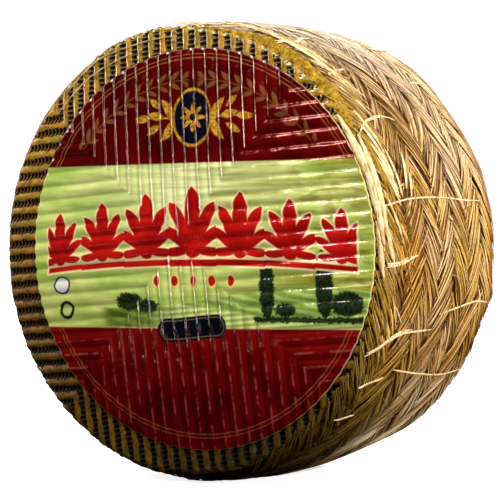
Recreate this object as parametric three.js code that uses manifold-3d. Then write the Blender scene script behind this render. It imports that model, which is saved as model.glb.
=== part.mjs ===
// A whole wheel of hard sheep's milk cheese in its plaited grass belt, stood on its curved side.
// The wheel's axis lies along Y with the labelled face towards -Y, +Z is up, and the origin is
// the middle of the small flat spot that the belt rests on. Lengths are in millimetres, and
// angles round the wheel in degrees from +X towards +Z.
import * as THREE from "three";
import { mergeVertices } from "three/addons/utils/BufferGeometryUtils.js";
import Module from "manifold-3d";

const wasm = await Module();
wasm.setup();

// Driving dimensions

const faceRadius = 95;          // the ribbed face, out to where the rind rounds over
const shoulders = [[96.6, 0.5], [97.6, 1.5]]; // [radius, depth behind the rim] of that rounding
const rimWidth = 101.6;         // between the two rims, along the axis
const domeHeight = 5.6;         // how far each pressed face swells past its rim
const domeRadius = 100;         // where that swell would reach zero

const ribPitch = 6.05;          // ribs left by the grooved pressing boards
const rindRibDepth = 1.5;
const wheelRoll = 4.4;          // how far the wheel has rolled from its ribs standing upright
const boardTurn = 0.8;          // the boards' ribs against the belt's ties
const boardRise = 3.4;          // the ribs meet this far above the wheel's axis

const labelRadius = 87;
const labelCentre = [8.2, 0.5]; // the label was stuck on off-centre
const labelRibDepth = 0.9;      // paper bridges part of each groove
const labelThickness = 0.4;

const beltMidRadius = 103;
const beltBulge = 2.6;          // the belt's edges are this much nearer the axis
const beltFront = 2.6;          // from the front rim to the belt's front edge
const beltBack = 99;            // and to its back edge
const beltThickness = 3;
const beltFrontEdge = 98.3;     // radius where the first straws turn down onto the rind
const beltBackEdge = 101;       // and where the last ones stand proud
const plaitBands = 7;           // plaits sewn side by side
const plaitGrooveDepth = 0.9;   // between neighbouring plaits
const strawRelief = 0.4;        // of each slanting bundle of straw
const strawBundles = 64;        // round the wheel
const strawShift = 15;          // degrees that a bundle runs on in crossing one plait
const edgeScallop = 0.8;        // the back edge is drawn in between its ties
const edgeScallops = 20;

const flatHalfWidth = 12;       // the belt is pressed flat where the wheel stands
const calmHalfAngle = 9;        // no relief round that flat spot
const calmFade = 8;

const gap = 0.3;                // between pieces that touch

// What follows from them

const flatSagitta = beltMidRadius - Math.sqrt(beltMidRadius ** 2 - flatHalfWidth ** 2);
const axisZ = beltMidRadius - flatSagitta;
const midY = (labelThickness + gap) / 2;
const frontRimY = midY - rimWidth / 2;
const backRimY = midY + rimWidth / 2;
const ribTurn = wheelRoll + boardTurn;
const radians = THREE.MathUtils.degToRad;

const dome = (radius) => domeHeight * (1 - (radius / domeRadius) ** 2);

// The middle of the belt's outer skin, at a distance behind the front rim
const beltRadius = (depth) => {
  const across = (2 * (depth - beltFront)) / (beltBack - beltFront) - 1;
  return beltMidRadius - beltBulge * across ** 2;
};
const beltInnerRadius = (depth) => beltRadius(depth) - beltThickness;

// The belt's outside with its two edges, where every plait is two rows wide
const rows = 2 * plaitBands;
const rowDepth = (row) => beltFront + ((beltBack - beltFront) * row) / rows;
const rowRadius = (row) => {
  if (row === 0) return beltFrontEdge;
  return row === rows ? beltBackEdge : beltRadius(rowDepth(row));
};
const skinRadius = (depth) => {
  const place = (rows * (depth - beltFront)) / (beltBack - beltFront);
  const row = THREE.MathUtils.clamp(Math.floor(place), 0, rows - 1);
  const part = THREE.MathUtils.clamp(place - row, 0, 1);
  return THREE.MathUtils.lerp(rowRadius(row), rowRadius(row + 1), part);
};

const polar = (angle, radius, depth) => [
  radius * Math.cos(radians(angle)),
  frontRimY + depth,
  axisZ + radius * Math.sin(radians(angle)),
];

// Geometry from a list of corner points, three to a triangle, with shared corners merged
const weld = (corners) => {
  const soup = new THREE.BufferGeometry();
  soup.setAttribute("position", new THREE.Float32BufferAttribute(corners.flat(), 3));
  const geometry = mergeVertices(soup, 1e-4);
  geometry.computeVertexNormals();
  return geometry;
};

// The two triangles of a four-sided cell; a cell with two equal corners gives one triangle
const cell = (p, q, r, s) => {
  const apart = (a, b) => Math.hypot(a[0] - b[0], a[1] - b[1], a[2] - b[2]) > 1e-4;
  const whole = ([a, b, c]) => apart(a, b) && apart(b, c) && apart(c, a);
  return [[p, q, r], [p, r, s]].filter(whole).flat();
};

// The pressed ribs meet in four sectors: upright above and below, level at the sides, mitred
// on the diagonals. Each rib and each groove is therefore an L inside one quadrant.

const ribHeight = (a, b, depth) => {
  const phase = (Math.min(Math.abs(a), Math.abs(b)) / ribPitch) % 1;
  return -depth * Math.abs(2 * phase - 1);
};

const legSteps = 3;

// Points of the L that starts on a quadrant's diagonal and runs out to the disc's edge
const elbow = (distance, signA, signB, disc) => {
  const a = signA * distance;
  const b = signB * distance;
  const endA = disc.a + signA * Math.sqrt(disc.radius ** 2 - (b - disc.b) ** 2);
  const endB = disc.b + signB * Math.sqrt(disc.radius ** 2 - (a - disc.a) ** 2);
  const points = [];
  for (let step = -legSteps; step <= legSteps; step += 1) {
    const part = Math.abs(step) / legSteps;
    if (step < 0) points.push([a, b + (endB - b) * part]);
    else points.push([a + (endA - a) * part, b]);
  }
  return points;
};

// The edge of the disc between the two ends of a quadrant's last L
const closingArc = (last, disc) => {
  const turn = ([a, b]) => Math.atan2(b - disc.b, a - disc.a);
  const from = turn(last[0]);
  let sweep = turn(last[last.length - 1]) - from;
  if (sweep > Math.PI) sweep -= 2 * Math.PI;
  if (sweep < -Math.PI) sweep += 2 * Math.PI;
  const inside = last.slice(1, -1).map((_, index) => {
    const angle = from + (sweep * (index + 1)) / (last.length - 1);
    return [disc.a + disc.radius * Math.cos(angle), disc.b + disc.radius * Math.sin(angle)];
  });
  return [last[0], ...inside, last[last.length - 1]];
};

// A disc cut along its ribs: cells of four points in rib coordinates, and the edge in order
const ribbedDisc = (disc) => {
  const cells = [];
  const edge = new Map();
  const turn = ([a, b]) => Math.atan2(b - disc.b, a - disc.a);
  const wholeTurn = (point) => THREE.MathUtils.euclideanModulo(turn(point), 2 * Math.PI);
  const keep = (point) => edge.set(Math.round(wholeTurn(point) * 1e6), point);
  for (const [signA, signB] of [[1, 1], [-1, 1], [-1, -1], [1, -1]]) {
    const lines = [];
    const inDisc = (d) => Math.hypot(signA * d - disc.a, signB * d - disc.b) < disc.radius - 1;
    for (let half = 0; inDisc((half * ribPitch) / 2); half += 1) {
      lines.push(elbow((half * ribPitch) / 2, signA, signB, disc));
    }
    lines.forEach((line) => [line[0], line[line.length - 1]].forEach(keep));
    const arc = closingArc(lines[lines.length - 1], disc);
    arc.forEach(keep);
    lines.push(arc);
    for (let row = 0; row + 1 < lines.length; row += 1) {
      for (let step = 0; step < 2 * legSteps; step += 1) {
        const [near, far] = [lines[row], lines[row + 1]];
        const corners = [near[step], near[step + 1], far[step + 1], far[step]];
        cells.push(signA * signB < 0 ? corners.reverse() : corners);
      }
    }
  }
  const order = [...edge.keys()].sort((first, second) => first - second);
  return { cells, edge: order.map((key) => edge.get(key)) };
};

// Places a rib coordinate in the wheel at a height in front of a rim, or behind it
const turnSin = Math.sin(radians(ribTurn));
const turnCos = Math.cos(radians(ribTurn));
const onFace = ([a, b], height, rimY, outward) => [
  a * turnCos - b * turnSin,
  rimY + outward * height,
  axisZ + boardRise + a * turnSin + b * turnCos,
];

// The rib coordinates of a place to the right of the wheel's axis and above it
const inRibs = (right, above) => ({
  a: right * turnCos + (above - boardRise) * turnSin,
  b: (above - boardRise) * turnCos - right * turnSin,
});
const axisInRibs = inRibs(0, 0);

const faceHeight = ([a, b], ribDepth) =>
  dome(Math.hypot(a - axisInRibs.a, b - axisInRibs.b)) + ribHeight(a, b, ribDepth);
const rindHeight = (point) => faceHeight(point, rindRibDepth);
const paperHeight = (point) => faceHeight(point, labelRibDepth) + gap;

// The cheese: both faces ribbed, its sides a shallow barrel under the belt

const buildCheese = () => {
  const disc = ribbedDisc({ ...axisInRibs, radius: faceRadius });
  const corners = [];
  for (const points of disc.cells) {
    const front = points.map((point) => onFace(point, rindHeight(point), frontRimY, -1));
    const back = points.map((point) => onFace(point, rindHeight(point), backRimY, 1));
    corners.push(...cell(...front), ...cell(...back.reverse()));
  }
  const sideDepths = [beltFront - 0.4, rimWidth / 2, rimWidth - beltFront + 0.4];
  const clampDepth = (depth) => Math.min(Math.max(depth, beltFront), beltBack);
  const side = sideDepths.map((depth) => [beltInnerRadius(clampDepth(depth)) - gap, depth]);
  const farShoulders = shoulders.map(([radius, depth]) => [radius, rimWidth - depth]).reverse();
  const profile = [...shoulders, ...side, ...farShoulders];
  const column = (point) => {
    const offAxis = Math.atan2(point[1] - axisInRibs.b, point[0] - axisInRibs.a);
    const angle = ribTurn + THREE.MathUtils.radToDeg(offAxis);
    return [
      onFace(point, rindHeight(point), frontRimY, -1),
      ...profile.map(([radius, depth]) => polar(angle, radius, depth)),
      onFace(point, rindHeight(point), backRimY, 1),
    ];
  };
  const columns = disc.edge.map(column);
  columns.forEach((here, index) => {
    const next = columns[(index + 1) % columns.length];
    for (let row = 0; row + 1 < here.length; row += 1) {
      corners.push(...cell(here[row], here[row + 1], next[row + 1], next[row]));
    }
  });
  return weld(corners);
};

// The label: a round sheet of paper that follows the ribs it is stuck to

const buildLabel = () => {
  const disc = ribbedDisc({ ...inRibs(...labelCentre), radius: labelRadius });
  const top = (point) => onFace(point, paperHeight(point) + labelThickness, frontRimY, -1);
  const under = (point) => onFace(point, paperHeight(point), frontRimY, -1);
  const corners = [];
  for (const points of disc.cells) {
    corners.push(...cell(...points.map(top)), ...cell(...points.map(under).reverse()));
  }
  disc.edge.forEach((here, index) => {
    const next = disc.edge[(index + 1) % disc.edge.length];
    corners.push(...cell(top(here), under(here), under(next), top(next)));
  });
  return weld(corners);
};

// The belt: plaits of esparto grass sewn side by side, slanting one way and then the other

const calm = (angle) => {
  const offBottom = Math.abs(THREE.MathUtils.euclideanModulo(angle + 90 + 180, 360) - 180);
  return THREE.MathUtils.smoothstep(offBottom, calmHalfAngle, calmHalfAngle + calmFade);
};

const buildBelt = () => {
  const columns = 2 * strawBundles;
  const innerRows = 4;
  const zigzag = (row) => strawShift * (1 - Math.abs((row % 4) / 2 - 1));
  const scallop = (angle) => edgeScallop * Math.sin(radians((angle * edgeScallops) / 2)) ** 2;
  const outer = (row, column) => {
    const angle = (360 * column) / columns + zigzag(row);
    const isEdge = row === 0 || row === rows;
    const groove = row % 2 === 0 ? plaitGrooveDepth : 0;
    const straw = strawRelief * (column % 2 === 0 ? 1 : -1);
    const relief = isEdge ? 0 : calm(angle) * (straw - groove);
    const depth = rowDepth(row) - (row === rows ? scallop(angle) : 0);
    return polar(angle, rowRadius(row) + relief, depth);
  };
  const inner = (row, column) => {
    const angle = (360 * column) / columns + (zigzag(rows) * row) / innerRows;
    const depth = beltFront + ((beltBack - beltFront) * row) / innerRows;
    const radius = beltInnerRadius(depth);
    return polar(angle, radius, row === innerRows ? depth - scallop(angle) : depth);
  };
  const section = (column) => {
    const points = [];
    for (let row = 0; row <= rows; row += 1) points.push(outer(row, column));
    for (let row = innerRows; row >= 0; row -= 1) points.push(inner(row, column));
    return points;
  };
  const corners = [];
  for (let column = 0; column < columns; column += 1) {
    const here = section(column);
    const next = section(column + 1);
    for (let row = 0; row < here.length; row += 1) {
      const after = (row + 1) % here.length;
      corners.push(...cell(here[row], here[after], next[after], next[row]));
    }
  }
  return weld(corners);
};

// Cuts the belt off level at the height that it stands on

const toSolid = (geometry) => {
  const bare = geometry.clone();
  bare.deleteAttribute("normal");
  bare.deleteAttribute("uv");
  const merged = mergeVertices(bare, 1e-4);
  const vertProperties = new Float32Array(merged.attributes.position.array);
  const triVerts = new Uint32Array(merged.index.array);
  return new wasm.Manifold(new wasm.Mesh({ numProp: 3, vertProperties, triVerts }));
};

const toGeometry = (solid) => {
  const { vertProperties, triVerts } = solid.getMesh();
  const geometry = new THREE.BufferGeometry();
  geometry.setAttribute("position", new THREE.Float32BufferAttribute(vertProperties, 3));
  geometry.setIndex(new THREE.BufferAttribute(triVerts, 1));
  geometry.computeVertexNormals();
  return geometry;
};

const standFlat = (geometry) => {
  const block = new THREE.BoxGeometry(4 * beltMidRadius, 4 * beltMidRadius, 20);
  block.translate(0, 0, -10);
  return toGeometry(toSolid(geometry).subtract(toSolid(block)));
};

// The ties: flat straws and threads that lie across the belt and hold its plaits together.
// Each runs over the points [angle in the rolled wheel, depth behind the front rim], and thins
// at both ends.

const tieStep = 6.5;

const buildTie = (route, width, thickness) => {
  const run = route[route.length - 1][1] - route[0][1];
  const steps = Math.max(4, Math.round(run / tieStep));
  const points = route.map(([angle, depth]) => new THREE.Vector3(angle + wheelRoll, depth, 0));
  const curve = new THREE.CatmullRomCurve3(points);
  const lift = strawRelief + gap;
  const section = (step) => {
    const { x: angle, y: depth } = curve.getPoint(step / steps);
    const taper = step === 0 || step === steps ? 0.4 : 1;
    const halfTurn = THREE.MathUtils.radToDeg((taper * width) / 2 / beltMidRadius);
    const base = skinRadius(depth) + lift;
    const crown = base + thickness * taper;
    return [
      polar(angle - halfTurn, base, depth),
      polar(angle, crown, depth),
      polar(angle + halfTurn, base, depth),
    ];
  };
  const sections = [];
  for (let step = 0; step <= steps; step += 1) sections.push(section(step));
  const corners = [...sections[0], ...[...sections[steps]].reverse()];
  for (let step = 0; step < steps; step += 1) {
    for (let side = 0; side < 3; side += 1) {
      const after = (side + 1) % 3;
      const [here, next] = [sections[step], sections[step + 1]];
      corners.push(...cell(here[side], next[side], next[after], here[after]));
    }
  }
  return weld(corners);
};

const cheeseRind = new THREE.MeshStandardMaterial({ color: 0xa9781f, roughness: 0.5, metalness: 0 });
const printedPaper = new THREE.MeshStandardMaterial({ color: 0x7a1016, roughness: 0.3, metalness: 0 });
const espartoGrass = new THREE.MeshStandardMaterial({ color: 0xc49a55, roughness: 0.75, metalness: 0 });
const paleStraw = new THREE.MeshStandardMaterial({ color: 0xe6cf9c, roughness: 0.6, metalness: 0 });

const cheese = new THREE.Group();

const add = (name, geometry, material) => {
  const mesh = new THREE.Mesh(geometry, material);
  mesh.name = name;
  cheese.add(mesh);
};

add("cheese_wheel", buildCheese(), cheeseRind);
add("face_label", buildLabel(), printedPaper);
add("esparto_belt", standFlat(buildBelt()), espartoGrass);

// The ties that show from the front right, each [width, thickness, route]
const shownTies = {
  tie_top_front: [1.8, 0.8, [[58.5, 1], [57, 12], [58.5, 22], [58, 28]]],
  tie_top_back: [1.4, 0.7, [[55.5, 72], [56.5, 84], [57.5, 97]]],
  tie_upper_front: [1.2, 0.6, [[43, 6], [44.2, 14], [44.8, 23]]],
  tie_upper_back: [1.1, 0.6, [[41, 71], [41.8, 84], [42.2, 96]]],
  tie_bowed: [1.8, 0.9, [[25.5, 1], [28.2, 8], [29.5, 20], [29.2, 26], [28.3, 31]]],
  tie_long: [1.0, 0.6, [[6.8, 0.5], [8.2, 18], [8.4, 38], [8.2, 55], [7.8, 70], [7.7, 98]]],
  tie_folded: [2.0, 0.9, [[-7.4, 1], [-6.8, 10], [-5.5, 18], [-4.6, 23]]],
  tie_stray: [0.8, 0.5, [[-16.5, 8], [-19, 13], [-22, 18]]],
  tie_forked: [2.6, 1.0, [[-29.8, 0.5], [-26.5, 8], [-23.8, 19], [-23.3, 32], [-22.8, 46]]],
  tie_lower_back: [1.1, 0.6, [[-19.6, 48], [-18.4, 66], [-17.2, 82], [-18.2, 98]]],
  tie_lower_long: [1.1, 0.6, [[-33.5, 24], [-35, 42], [-36.2, 62], [-37, 80], [-37, 98]]],
  tie_lower_front: [1.4, 0.7, [[-38.5, 5], [-37, 12], [-35.4, 20]]],
  tie_low_stub: [1.0, 0.5, [[-49, 5], [-48, 11], [-47.2, 18]]],
};
for (const [name, [width, thickness, route]] of Object.entries(shownTies)) {
  add(name, buildTie(route, width, thickness), paleStraw);
}

// The rest of the ties go on round the back of the wheel at even steps, clear of the floor
const firstHiddenTie = 92;
const hiddenTieStep = 24;
const hiddenTies = 7;
for (let index = 0; index < hiddenTies; index += 1) {
  const angle = firstHiddenTie + index * hiddenTieStep;
  const lean = 1.2 * Math.sin(2.3 * index);
  const start = index % 2 === 0 ? 8 : 22;
  const end = index % 3 === 1 ? 74 : 98;
  const middle = (start + end) / 2;
  const route = [[angle, start], [angle + lean, middle], [angle - lean / 2, end]];
  add(`tie_round_${index + 1}`, buildTie(route, 1.1, 0.6), paleStraw);
}

export default cheese;
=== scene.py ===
import math
import random

import bpy
from mathutils import Matrix, Vector


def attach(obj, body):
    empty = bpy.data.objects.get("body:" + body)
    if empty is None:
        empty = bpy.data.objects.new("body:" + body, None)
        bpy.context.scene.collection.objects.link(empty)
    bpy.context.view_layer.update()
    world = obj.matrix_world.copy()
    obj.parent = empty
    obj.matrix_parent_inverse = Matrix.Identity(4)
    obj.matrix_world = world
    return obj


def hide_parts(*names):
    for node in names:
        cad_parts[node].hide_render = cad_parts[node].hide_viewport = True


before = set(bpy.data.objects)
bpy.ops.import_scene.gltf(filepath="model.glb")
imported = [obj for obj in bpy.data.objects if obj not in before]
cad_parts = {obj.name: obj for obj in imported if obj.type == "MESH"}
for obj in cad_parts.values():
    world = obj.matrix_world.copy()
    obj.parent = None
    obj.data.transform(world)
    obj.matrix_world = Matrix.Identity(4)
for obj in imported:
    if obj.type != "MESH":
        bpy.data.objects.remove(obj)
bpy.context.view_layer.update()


# The cheese
# One wheel of hard sheep's milk cheese. Grooved boards press ribs into both faces, level at the
# sides and upright above and below, and a mesh cloth leaves a ladder of small pits between
# them. The oiled rind is golden on the ribs and nearly black where mould sits in the pits.

axis_height = 102.2986
middle = 0.35
front_rim = middle - 50.8
back_rim = middle + 50.8
rib_pitch = 6.05
rib_turn = math.radians(5.2)
rib_depth = 1.5
rib_middle = axis_height + 3.4
pit_spacing = 2.15
label_cover = 76.3


class Field:
    """A number that a tree of nodes works out at each point, for a shape and a colour alike."""

    def __init__(self, tree, socket):
        self.tree = tree
        self.socket = socket

    def put(self, operation, *others):
        node = self.tree.nodes.new("ShaderNodeMath")
        node.operation = operation
        for entry, value in zip(node.inputs, (self, *others)):
            feed(self.tree, value, entry)
        return Field(self.tree, node.outputs[0])

    def __add__(self, other):
        return self.put("ADD", other)

    def __sub__(self, other):
        return self.put("SUBTRACT", other)

    def __mul__(self, other):
        return self.put("MULTIPLY", other)

    def __truediv__(self, other):
        return self.put("DIVIDE", other)

    def __neg__(self):
        return self.put("MULTIPLY", -1.0)

    def __rsub__(self, other):
        return -self + other

    def __abs__(self):
        return self.put("ABSOLUTE")

    __radd__ = __add__
    __rmul__ = __mul__

    def least(self, other):
        return self.put("MINIMUM", other)

    def most(self, other):
        return self.put("MAXIMUM", other)

    def ease(self, low, high, start=0.0, end=1.0):
        """Goes smoothly from start to end as the number goes from low to high."""
        entries = {0: self, 1: low, 2: high, 3: start, 4: end}
        node = add_node(self.tree, "ShaderNodeMapRange", entries, interpolation_type="SMOOTHSTEP")
        return Field(self.tree, node.outputs[0])


def feed(tree, value, entry):
    """Gives a node's input a value, or what another node works out."""
    if isinstance(value, Field):
        tree.links.new(value.socket, entry)
    elif isinstance(value, bpy.types.NodeSocket):
        tree.links.new(value, entry)
    else:
        entry.default_value = value


def add_node(tree, kind, entries=None, **settings):
    """Adds a node with its settings and its inputs, each by name or by number."""
    node = tree.nodes.new(kind)
    for setting, value in settings.items():
        setattr(node, setting, value)
    for entry, value in (entries or {}).items():
        feed(tree, value, node.inputs[entry])
    return node


def split(tree, vector):
    """The three parts of a vector."""
    node = add_node(tree, "ShaderNodeSeparateXYZ", {0: vector})
    return [Field(tree, part) for part in node.outputs]


def join(tree, x, y, z):
    """A vector from its three parts."""
    return add_node(tree, "ShaderNodeCombineXYZ", {0: x, 1: y, 2: z}).outputs[0]


def mottle(tree, place, size, detail=3.0, low=0.35, high=0.65):
    """Soft patches from 0 to 1, this many mm across in each direction."""
    sizes = size if isinstance(size, tuple) else (size,) * 3
    parts = [part / width for part, width in zip(place, sizes)]
    entries = {"Vector": join(tree, *parts), "Scale": 1.0, "Detail": detail}
    node = add_node(tree, "ShaderNodeTexNoise", entries)
    return Field(tree, node.outputs[0]).ease(low, high)


def rib_place(x, z):
    """Where a point in mm lies on the ribs: 0 on a ridge to 1 in a groove, 1 in a pit's middle."""
    up = z - rib_middle
    level = x * math.cos(rib_turn) + up * math.sin(rib_turn)
    upright = up * math.cos(rib_turn) - x * math.sin(rib_turn)
    step = abs(level).least(abs(upright)) / rib_pitch
    across = abs(step.put("FRACT") * 2 - 1)
    swap = (abs(upright) - abs(level)).put("GREATER_THAN", 0.0)
    main = level + (upright - level) * swap
    other = level + upright - main
    rung = (main - other * (swap * -0.3 + 0.4)) / pit_spacing
    pit = 1 - abs(rung.put("FRACT") * 2 - 1)
    return across, pit


def new_tree(name, **inputs):
    """A geometry tree with a mesh going in and out, and named inputs for its sizes."""
    tree = bpy.data.node_groups.new(name, "GeometryNodeTree")
    tree.interface.new_socket("Geometry", in_out="INPUT", socket_type="NodeSocketGeometry")
    tree.interface.new_socket("Geometry", in_out="OUTPUT", socket_type="NodeSocketGeometry")
    for label, kind in inputs.items():
        title = label.replace("_", " ").capitalize()
        tree.interface.new_socket(title, in_out="INPUT", socket_type="NodeSocket" + kind)
    source = tree.nodes.new("NodeGroupInput")
    return tree, {s.name: s for s in source.outputs if s.name}


def run_tree(piece, tree, values):
    """Runs a tree on a piece with these values, and keeps what it makes as a plain mesh."""
    modifier = piece.modifiers.new(tree.name, "NODES")
    modifier.node_group = tree
    for item in tree.interface.items_tree:
        if item.in_out == "INPUT" and item.name in values:
            modifier[item.identifier] = values[item.name]
    graph = bpy.context.evaluated_depsgraph_get()
    mesh = bpy.data.meshes.new_from_object(piece.evaluated_get(graph))
    piece.modifiers.clear()
    piece.data = mesh
    for polygon in mesh.polygons:
        polygon.use_smooth = True


def close_tree(tree, given, geometry):
    """Ends a tree with what it has made as one real mesh, in the finish that it was given."""
    realized = add_node(tree, "GeometryNodeRealizeInstances", {0: geometry})
    ended = add_node(tree, "GeometryNodeSetMaterial", {0: realized.outputs[0], 2: given["Finish"]})
    add_node(tree, "NodeGroupOutput", {0: ended.outputs[0]})


def new_piece(name, vertices, faces):
    """A mesh object from points in mm and its faces."""
    mesh = bpy.data.meshes.new(name)
    mesh.from_pydata([[part / 1000 for part in point] for point in vertices], [], faces)
    mesh.update()
    mesh.polygons.foreach_set("use_smooth", [True] * len(mesh.polygons))
    piece = bpy.data.objects.new(name, mesh)
    bpy.context.scene.collection.objects.link(piece)
    return piece


def turned_body(rings, centre=(0.0, axis_height)):
    """A closed body turned about an axis along Y, from rings of radius, place and columns."""
    vertices = [[centre[0], rings[0][1], centre[1]]]
    faces = []
    starts = []
    for radius, y, columns in rings:
        starts.append(len(vertices))
        for column in range(columns):
            turn = 2 * math.pi * column / columns
            x = centre[0] + radius * math.cos(turn)
            vertices.append([x, y, centre[1] + radius * math.sin(turn)])
    vertices.append([centre[0], rings[-1][1], centre[1]])
    for row in range(len(rings) - 1):
        near, far = rings[row][2], rings[row + 1][2]
        here = [starts[row] + column % near for column in range(2 * near + 1)]
        beyond = [starts[row + 1] + column % far for column in range(2 * far + 1)]
        for c in range(min(near, far)):
            if near == far:
                faces.append((here[c], beyond[c], beyond[c + 1], here[c + 1]))
            elif near < far:
                faces.append((here[c], beyond[2 * c], beyond[2 * c + 1]))
                faces.append((here[c], beyond[2 * c + 1], here[c + 1]))
                faces.append((here[c + 1], beyond[2 * c + 1], beyond[2 * c + 2]))
            else:
                faces.append((here[2 * c], beyond[c], here[2 * c + 1]))
                faces.append((here[2 * c + 1], beyond[c], beyond[c + 1]))
                faces.append((here[2 * c + 1], beyond[c + 1], here[2 * c + 2]))
    first, last = rings[0][2], rings[-1][2]
    for column in range(first):
        faces.append((0, starts[0] + column, starts[0] + (column + 1) % first))
    for column in range(last):
        end = starts[-1] + column
        faces.append((end, len(vertices) - 1, starts[-1] + (column + 1) % last))
    return vertices, faces


def dome(radius):
    """How far a pressed face swells past its rim."""
    return 5.6 * (1 - (radius / 100) ** 2)


# Rings of points from the middle of the labelled face round to the middle of the plain one, each
# with a radius, a place along the axis and a number of points, the most where the ribs show best.
# Under the label the cheese lies a little deeper.
full_ring = 1200
sunk = 1.5
under_label = ((8, 16), (30, 16), (50, 8), (62, 4), (70, 2), (76.4, 2))
wheel_rings = [(r, front_rim - dome(r) + sunk, full_ring // part) for r, part in under_label]
for step in range(35):
    radius = 77.2 + 17.8 * step / 34
    wheel_rings.append((radius, front_rim - dome(radius), full_ring))

# The shoulder where the face rounds over to the side: radius and depth behind the rim
shoulder = [(95.5, -0.4), (96.0, -0.1), (96.4, 0.25), (96.8, 0.65), (97.15, 1.1), (97.4, 1.6)]
side_wall = [(97.4, 2.4), (97.4, 3.4), (97.4, 4.8), (97.4, 7), (97.6, 12)]
for radius, depth in shoulder + side_wall:
    wheel_rings.append((radius, front_rim + depth, full_ring))
for radius, depth in ((99.5, 50), (97.6, 90), (97.2, 99.2)):
    wheel_rings.append((radius, front_rim + depth, full_ring // 2))
for radius, depth in reversed(shoulder):
    wheel_rings.append((radius, back_rim - depth, full_ring // 2))

# The plain face, from radius to radius in steps, with fewer points to a ring towards its middle
for outer, inner, step, part in ((95, 49, -1, 2), (49, 25, -1, 4), (25, 13, -1, 8), (12, 0, -2, 16)):
    for radius in range(outer, inner, step):
        wheel_rings.append((radius, back_rim + dome(radius), full_ring // part))

cheese = new_piece("cheese_wheel_ribbed", *turned_body(wheel_rings))

tree, given = new_tree("pressed_ribs", rib_depth="Float", pit_share="Float", finish="Material")
place = tree.nodes.new("GeometryNodeInputPosition").outputs[0]
x, y, z = [part * 1000 for part in split(tree, place)]
reach = ((x * x) + (z - axis_height) * (z - axis_height)).put("SQRT")
depth = y - front_rim
turn = (z - axis_height).put("ARCTAN2", x) * (180 / math.pi)

# On the upper right the shoulder stands out bare and full in front of the belt. On the left the
# ribs run on over a fuller edge, which is worn away a little further round
bare = turn.ease(27, 36) * turn.ease(66, 78, 1.0, 0.0)
swell = bare * depth.ease(-0.6, 3.2) * 2.6
side = -x / reach
left = side.ease(0.0, 0.2) * side.ease(0.3, 0.62, 1.0, 0.0)
swell = swell + left * reach.ease(86, 95.5) * 0.8
worn_side = side.ease(0.42, 0.62) * z.ease(60, 112, 0.2, 1.1)
swell = swell - worn_side * reach.ease(90, 97)
worn = (mottle(tree, (x, y, z), 2.4, 2.0, 0.25, 0.75) - 0.5) * reach.ease(93, 96) * 0.9
swell = (swell + worn) * depth.ease(6.0, 11.0, 1.0, 0.0) / reach
across, pit = rib_place(x + x * swell, z + (z - axis_height) * swell)
on_front = (y - middle).put("LESS_THAN", 0.0)
hole = pit.ease(0.2, 0.6) * across.ease(0.5, 0.72)
share = Field(tree, given["Pit share"]) * on_front.ease(0, 1, 0.4, 1.0)
crown = across.least(0.2)
relief = crown * crown * 1.715 + (across.most(0.2) - 0.2) * 0.686
relief = relief + across.ease(0.5, 1.0) * 0.3 + hole * share
covered = on_front * reach.ease(label_cover, label_cover + 1, 1.0, 0.0)
fade = reach.ease(95.0, 97.6, 1.0, 0.0) * (1 - covered)
inwards = on_front * 2 - 1
push = relief * fade * inwards * Field(tree, given["Rib depth"]) * 0.001
offset = join(tree, x * swell * 0.001, push, (z - axis_height) * swell * 0.001)
moved = add_node(tree, "GeometryNodeSetPosition", {0: given["Geometry"], 3: offset})
close_tree(tree, given, moved.outputs[0])


def paint(code):
    """A colour from its web code."""
    parts = [int(code[at : at + 2], 16) / 255 for at in (1, 3, 5)]
    return [p / 12.92 if p < 0.04045 else ((p + 0.055) / 1.055) ** 2.4 for p in parts] + [1.0]


def new_finish(name):
    """A material with one shader, its tree, and where a point of the object is in mm."""
    material = bpy.data.materials.new(name)
    material.use_nodes = True
    tree = material.node_tree
    tree.nodes.clear()
    shader = tree.nodes.new("ShaderNodeBsdfPrincipled")
    add_node(tree, "ShaderNodeOutputMaterial", {0: shader.outputs[0]})
    place = tree.nodes.new("ShaderNodeTexCoord").outputs["Object"]
    return material, tree, shader, [part * 1000 for part in split(tree, place)]


def blend(tree, amount, first, second, way="MIX"):
    """A colour between two others."""
    first = paint(first) if isinstance(first, str) else first
    second = paint(second) if isinstance(second, str) else second
    entries = {0: amount, 6: first, 7: second}
    return add_node(tree, "ShaderNodeMix", entries, data_type="RGBA", blend_type=way).outputs[2]


def tint(tree, amount, colour, code):
    """A colour with more or less of another multiplied into it."""
    return blend(tree, amount, colour, blend(tree, 1.0, colour, code, "MULTIPLY"))


def raise_bump(tree, shader, height, distance, strength=0.6, socket="Normal"):
    """Lets a height in the material catch the light."""
    entries = {"Height": height, "Distance": distance / 1000, "Strength": strength}
    node = add_node(tree, "ShaderNodeBump", entries)
    tree.links.new(node.outputs[0], shader.inputs[socket])


rind, tree, shader, place = new_finish("oiled_rind")
x, y, z = place
across, pit = rib_place(x, z)
wander = mottle(tree, place, 3.5, 3.0, 0.3, 0.7)
grain = mottle(tree, place, 0.8, 2.0, 0.3, 0.7)
edge = across + (wander - 0.5) * 0.35
up = z - axis_height
reach = ((x * x) + up * up).put("SQRT")
side = -x / reach
left = side.ease(-0.14, 0.06) * side.ease(0.3, 0.62, 1.0, 0.0)

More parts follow.
